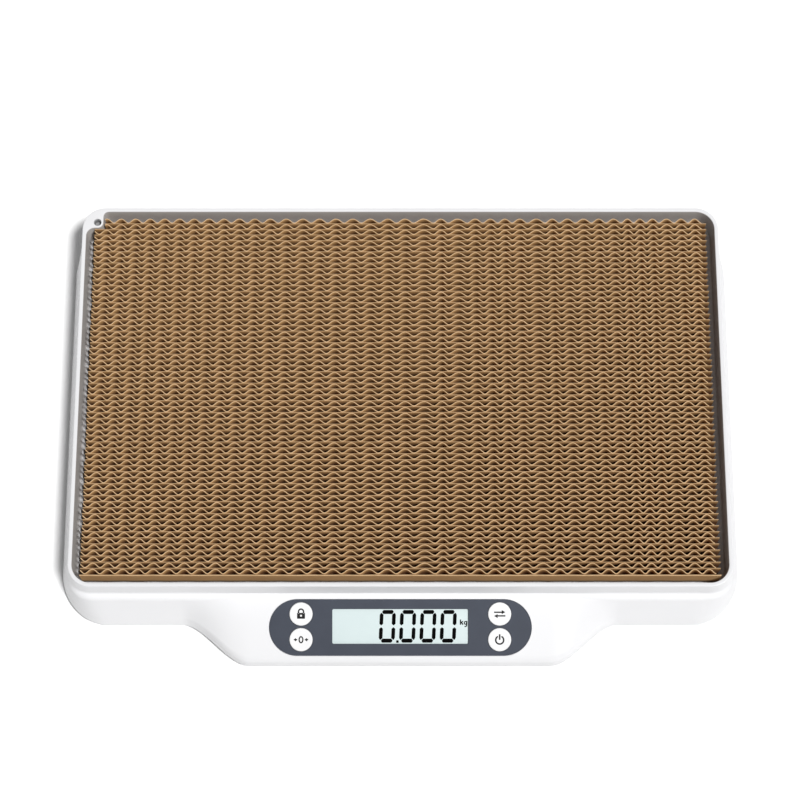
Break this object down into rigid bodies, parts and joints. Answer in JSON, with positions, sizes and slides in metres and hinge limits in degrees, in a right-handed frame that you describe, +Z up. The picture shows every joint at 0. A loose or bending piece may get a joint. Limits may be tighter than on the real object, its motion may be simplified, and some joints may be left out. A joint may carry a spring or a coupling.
{
  "type": "animal weighing scale",
  "caption": "Flat platform scale for small animals with a corrugated scratch board in a shallow rimmed tray and a sloping display lobe with keys at the front.",
  "frame": {"origin": "middle of the footprint, on the plane the rubber feet stand on", "axes": "+Z up, -Y towards the front with the display lobe, +X to the right of someone facing the display"},
  "size_m": [0.3974, 0.2743, 0.038],
  "materials": {
    "casing_white": "satin white moulding",
    "key_white": "smooth white",
    "slate_film": "satin printed film",
    "lcd_glass": "smooth, pale grey-green display",
    "lcd_backing": "matt",
    "black_rubber": "matt",
    "black_plastic": "matt",
    "switch_steel": "satin",
    "circuit_board": "solder mask",
    "screw_steel": "zinc plated",
    "cell_steel": "nickel plated",
    "foot_rubber": "matt light grey",
    "kraft_board": "raw corrugated board",
    "battery_wrap": "printed sleeve",
    "contact_plating": "nickel plated",
    "lead_sleeve": "soft insulation"
  },
  "bodies": {
    "scale_body": {"top_shell": "casing_white", "bottom_cover": "casing_white", "lcd_holder": "casing_white", "foot_cup_fl": "casing_white", "foot_cup_fr": "casing_white", "foot_cup_rl": "casing_white", "foot_cup_rr": "casing_white", "panel_overlay": "slate_film", "lcd_glass": "lcd_glass", "lcd_reflector": "lcd_backing", "lcd_connector": "black_rubber", "switch_hold": "switch_steel", "switch_tare": "switch_steel", "switch_unit": "switch_steel", "switch_power": "switch_steel", "main_board": "circuit_board", "controller_chip": "black_plastic", "board_screw_1": "screw_steel", "board_screw_2": "screw_steel", "foot_pad_fl": "foot_rubber", "load_cell_fl": "cell_steel", "cell_bracket_fl": "black_plastic", "cell_lead_fl": "lead_sleeve", "foot_pad_fr": "foot_rubber", "load_cell_fr": "cell_steel", "cell_bracket_fr": "black_plastic", "cell_lead_fr": "lead_sleeve", "foot_pad_rl": "foot_rubber", "load_cell_rl": "cell_steel", "cell_bracket_rl": "black_plastic", "cell_lead_rl": "lead_sleeve", "foot_pad_rr": "foot_rubber", "load_cell_rr": "cell_steel", "cell_bracket_rr": "black_plastic", "cell_lead_rr": "lead_sleeve", "cover_screw_1": "screw_steel", "cover_screw_2": "screw_steel", "cover_screw_3": "screw_steel", "cover_screw_4": "screw_steel", "cover_screw_5": "screw_steel", "cover_screw_6": "screw_steel", "battery_1": "battery_wrap", "battery_2": "battery_wrap", "contact_link": "contact_plating", "contact_minus": "contact_plating", "contact_plus": "contact_plating", "contact_spring_1": "contact_plating", "contact_spring_2": "contact_plating", "battery_lead": "lead_sleeve"},
    "scratch_board": {"scratch_core": "kraft_board", "scratch_liner": "kraft_board"},
    "battery_door": {"battery_door": "casing_white"},
    "key_hold": {"button_hold": "key_white", "plunger_hold": "black_plastic"},
    "key_tare": {"button_tare": "key_white", "plunger_tare": "black_plastic"},
    "key_unit": {"button_unit": "key_white", "plunger_unit": "black_plastic"},
    "key_power": {"button_power": "key_white", "plunger_power": "black_plastic"}
  },
  "joints": [
    {"name": "hold_press", "type": "slide", "parent": "scale_body", "child": "key_hold", "axis": [0, 0.2924, -0.9563], "range_m": [0, 0.0005], "stiffness_N_per_m": 500},
    {"name": "tare_press", "type": "slide", "parent": "scale_body", "child": "key_tare", "axis": [0, 0.2924, -0.9563], "range_m": [0, 0.0005], "stiffness_N_per_m": 500},
    {"name": "unit_press", "type": "slide", "parent": "scale_body", "child": "key_unit", "axis": [0, 0.2924, -0.9563], "range_m": [0, 0.0005], "stiffness_N_per_m": 500},
    {"name": "power_press", "type": "slide", "parent": "scale_body", "child": "key_power", "axis": [0, 0.2924, -0.9563], "range_m": [0, 0.0005], "stiffness_N_per_m": 500},
    {"name": "scratch_board_lift", "type": "slide", "parent": "scale_body", "child": "scratch_board", "axis": [0, 0, 1], "range_m": [0, 0.06]},
    {"name": "battery_door_hinge", "type": "hinge", "parent": "scale_body", "child": "battery_door", "pos_m": [0.06, 0.0287, 0.0041], "axis": [-1, 0, 0], "range_deg": [0, 75]}
  ]
}
